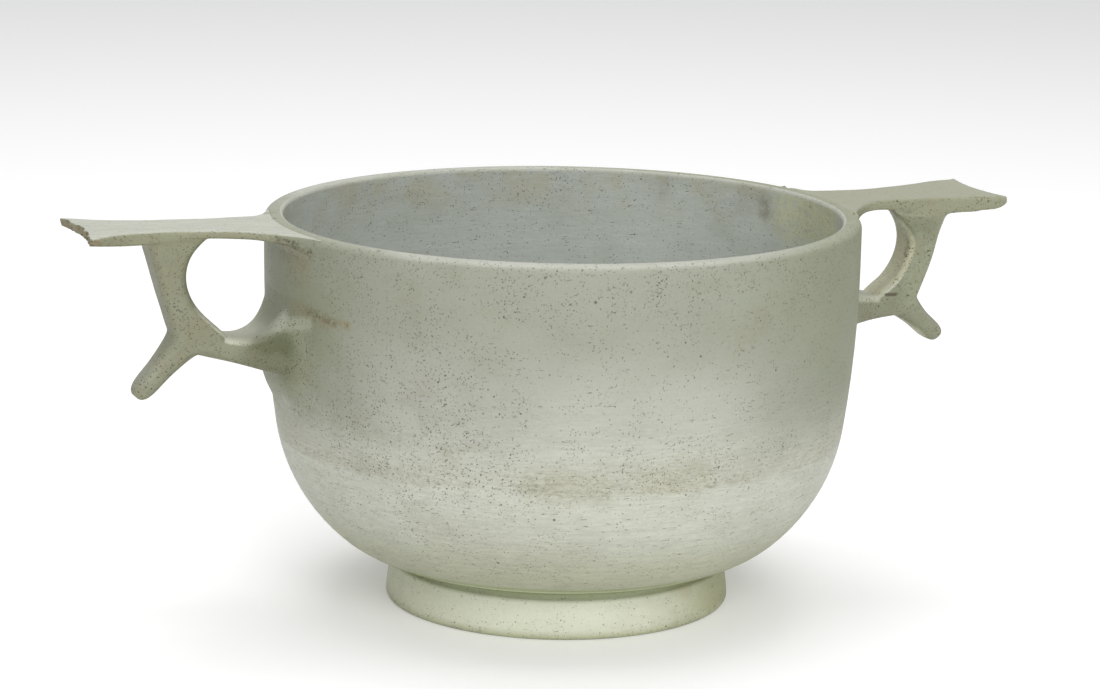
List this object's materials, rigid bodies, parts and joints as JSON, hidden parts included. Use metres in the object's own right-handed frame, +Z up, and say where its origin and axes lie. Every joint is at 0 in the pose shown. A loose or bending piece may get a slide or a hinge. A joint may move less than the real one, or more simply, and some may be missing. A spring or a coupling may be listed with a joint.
{
  "type": "glass skyphos",
  "caption": "Two-handled footed drinking cup of weathered green glass, with flat thumb plates, finger rings and spurs.",
  "frame": {"origin": "centre of the foot ring's resting face, on the cup's axis", "axes": "+Z up along the cup's axis, +X towards the right handle, -X towards the left handle"},
  "size_m": [0.1944, 0.12, 0.0805],
  "materials": {
    "weathered_glass": "cast and ground pale green glass, matt and milky from weathering, with fine brown pits and level grinding lines"
  },
  "bodies": {
    "root": {"bowl": "weathered_glass", "foot_ring": "weathered_glass", "left_thumb_plate": "weathered_glass", "left_finger_ring": "weathered_glass", "left_spur": "weathered_glass", "right_thumb_plate": "weathered_glass", "right_finger_ring": "weathered_glass", "right_spur": "weathered_glass"}
  },
  "joints": []
}
